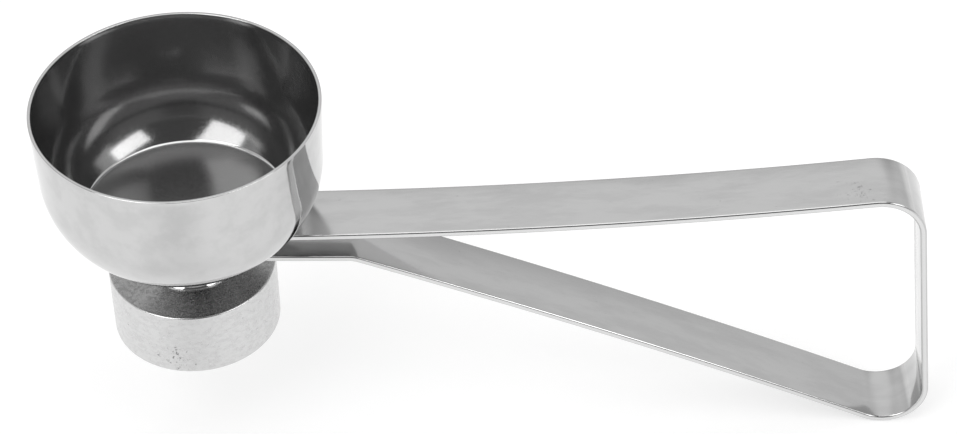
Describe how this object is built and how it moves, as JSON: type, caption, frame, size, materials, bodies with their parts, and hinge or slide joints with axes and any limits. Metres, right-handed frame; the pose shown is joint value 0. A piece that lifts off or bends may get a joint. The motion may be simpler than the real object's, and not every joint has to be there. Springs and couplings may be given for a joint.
{
  "type": "egg topper",
  "caption": "Egg topper with a deep cup above a small capped ring, back to back on the ends of a bent flat spring handle that knocks them together when squeezed.",
  "frame": {"origin": "centre of the small bell's mouth, on the bells' common axis, in the plane of its rim", "axes": "+Z along the bells' axis from the small bell to the big bell, +X from the bells to the far end of the handle, Y across the handle strip"},
  "size_m": [0.1622, 0.0512, 0.0744],
  "materials": {
    "polished_bell": "mirror polished stainless steel",
    "turned_bell": "turned and polished stainless steel with fine concentric marks",
    "spring_strip": "polished stainless spring steel",
    "hardware": "turned stainless steel"
  },
  "bodies": {
    "upper_half": {"big_bell": "polished_bell", "upper_arm": "spring_strip", "striker_rivet": "hardware"},
    "handle_back": {"back_bow": "spring_strip"},
    "lower_half": {"lower_arm": "spring_strip", "anvil_stud": "hardware", "spacer_sleeve": "hardware", "bell_collar": "turned_bell", "inner_washer": "hardware", "small_bell": "turned_bell"}
  },
  "joints": [
    {"name": "top_bend", "type": "hinge", "parent": "upper_half", "child": "handle_back", "pos_m": [0.12885, 0, 0.03068], "axis": [0, 1, 0], "range_deg": [0, 0.52], "stiffness_Nm_per_rad": 8},
    {"name": "bottom_bend", "type": "hinge", "parent": "handle_back", "child": "lower_half", "pos_m": [0.13279, 0, -0.02136], "axis": [0, 1, 0], "range_deg": [0, 0.52], "stiffness_Nm_per_rad": 8}
  ],
  "couplings": [
    {"joint": "bottom_bend", "follows": "top_bend", "ratio": 1}
  ]
}
